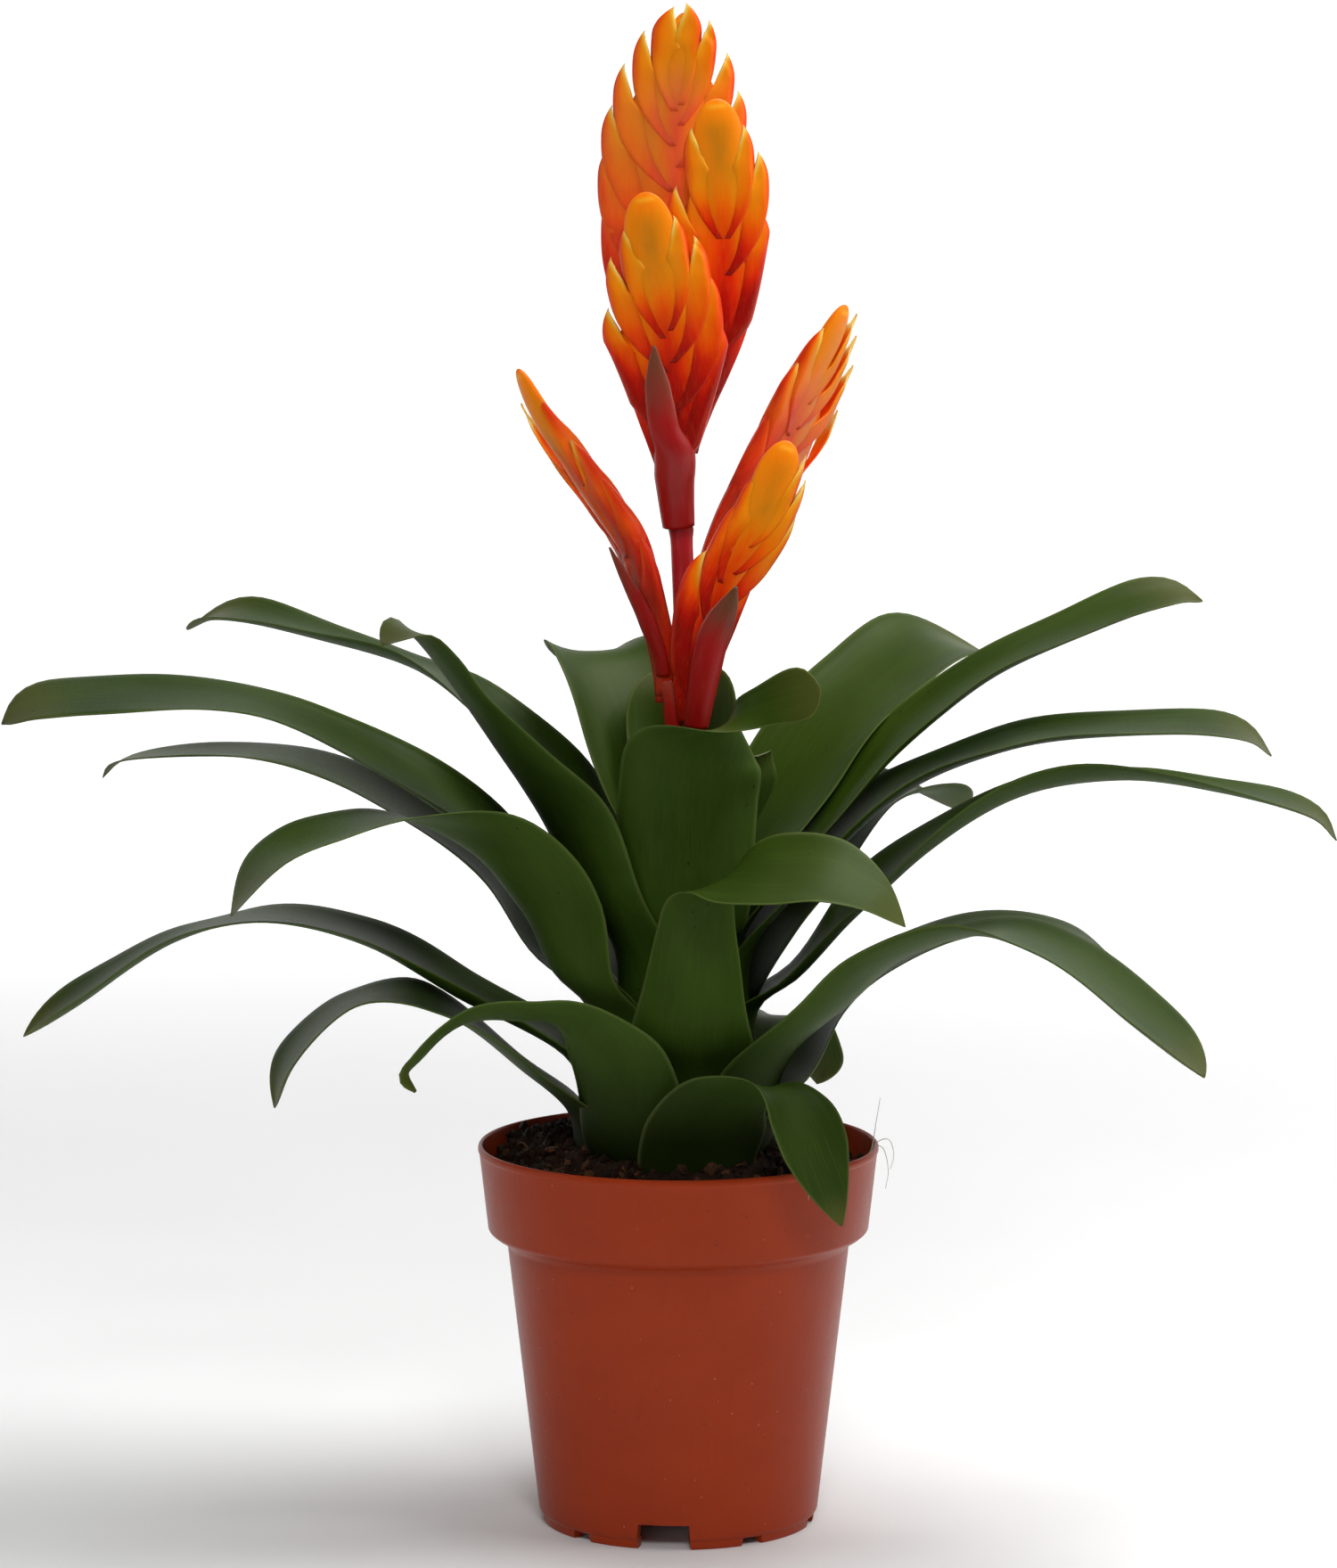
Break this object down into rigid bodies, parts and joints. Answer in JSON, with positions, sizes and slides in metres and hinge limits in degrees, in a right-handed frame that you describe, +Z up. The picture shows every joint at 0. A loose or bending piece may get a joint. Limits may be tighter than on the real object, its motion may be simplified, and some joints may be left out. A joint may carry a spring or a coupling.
{
  "type": "potted vriesea",
  "caption": "Flowering bromeliad with arching strap leaves in a rosette and flat orange flower spikes on a branched stem, in a round plastic nursery pot with a collar.",
  "frame": {"origin": "the middle of the pot's underside, on the surface that its feet stand on, which is also the bottom of the whole box and its middle to within 3 mm", "axes": "+Z up along the pot's axis, -Y to the viewer of the plant's front, +X to that viewer's right"},
  "size_m": [0.3924, 0.1884, 0.4541],
  "materials": {
    "pot": "terracotta coloured plastic, softly satin",
    "potting_mix": "crumbly peat and bark, quite dull; stands in for soil",
    "stem": "crimson plant stem, satin; stands in for a living stem",
    "leaf": "green leaf with a soft wax gloss; stands in for a living leaf",
    "spike": "orange and red bracts, softly glossy; stands in for living bracts",
    "bract": "dark crimson bract, satin; stands in for a living bract"
  },
  "bodies": {
    "root": {"pot": "pot", "potting_mix": "potting_mix", "flower_stem": "stem", "leaf_front_low": "leaf", "leaf_left_low": "leaf", "leaf_front_left_low": "leaf", "leaf_back_right_low": "leaf", "leaf_back_low": "leaf", "leaf_right_low_back": "leaf", "leaf_right_low": "leaf", "leaf_left_middle": "leaf", "leaf_front_middle": "leaf", "leaf_front_left_middle": "leaf", "leaf_back_left_middle": "leaf", "leaf_right_middle": "leaf", "leaf_left_back": "leaf", "leaf_back_right_middle": "leaf", "leaf_left_long": "leaf", "leaf_right_long": "leaf", "leaf_back_middle": "leaf", "leaf_left_tall": "leaf", "leaf_right_tall": "leaf", "leaf_back_left_tall": "leaf", "leaf_back_right_tall": "leaf", "leaf_front_tall": "leaf", "leaf_right_inner": "leaf", "leaf_back_left_inner": "leaf", "leaf_back_inner": "leaf", "spike_top": "spike", "spike_right": "spike", "spike_front": "spike", "spike_low_left": "spike", "spike_low_back": "spike", "spike_low_right": "spike", "bract_top": "bract", "bract_low_right": "bract", "bract_low_left": "bract", "bract_foot": "bract"}
  },
  "joints": []
}
